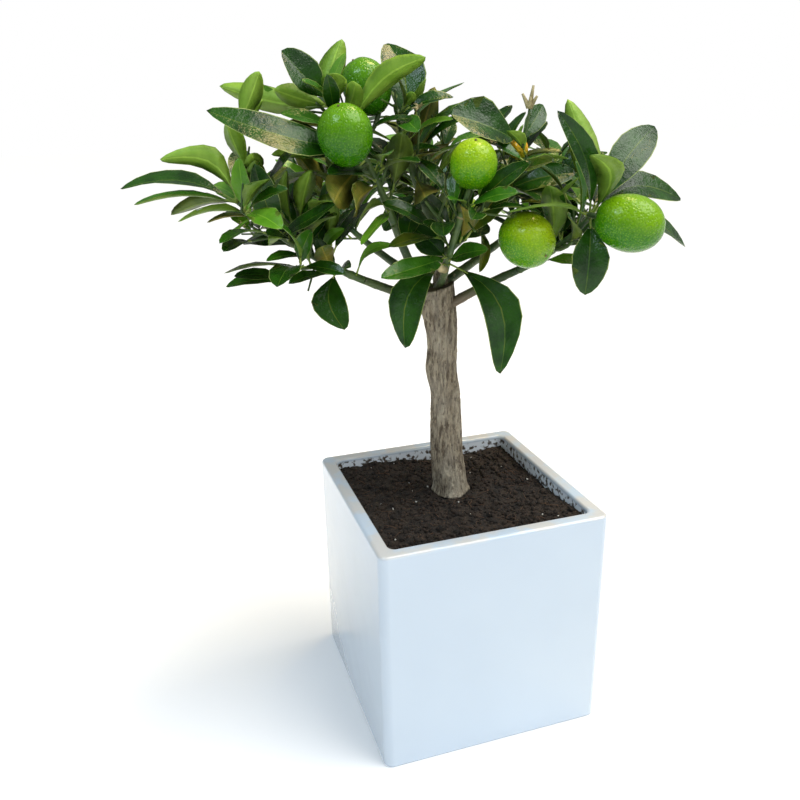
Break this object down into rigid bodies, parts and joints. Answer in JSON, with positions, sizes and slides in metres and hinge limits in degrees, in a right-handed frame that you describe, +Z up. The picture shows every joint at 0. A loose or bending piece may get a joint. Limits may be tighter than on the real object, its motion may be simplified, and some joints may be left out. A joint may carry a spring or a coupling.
{
  "type": "potted kumquat tree",
  "caption": "Potted kumquat tree: a young fruit tree with glossy leaves and green fruit on one woody stem, standing in a square glazed pot of soil.",
  "frame": {"origin": "middle of the pot's flat underside", "axes": "+Z up along the stem; the pot's sides lie along X and Y, and its front face looks towards -Y"},
  "size_m": [0.336, 0.2247, 0.4301],
  "materials": {
    "glazed_pot": "gloss",
    "soil": "matt",
    "bark": "rough",
    "green_bark": "satin",
    "foliage": "gloss"
  },
  "bodies": {
    "root": {"pot": "glazed_pot", "soil": "soil", "trunk": "bark", "bough_left": "green_bark", "bough_left_upper": "green_bark", "bough_top": "green_bark", "bough_front": "green_bark", "bough_right": "green_bark", "bough_right_upper": "green_bark", "bough_back_left": "green_bark", "bough_back": "green_bark", "bough_back_right": "green_bark", "bough_back_upper": "green_bark", "foliage_left": "foliage", "foliage_left_upper": "foliage", "foliage_top": "foliage", "foliage_front": "foliage", "foliage_right": "foliage", "foliage_right_upper": "foliage", "foliage_back_left": "foliage", "foliage_back": "foliage", "foliage_back_right": "foliage", "foliage_back_upper": "foliage"}
  },
  "joints": []
}
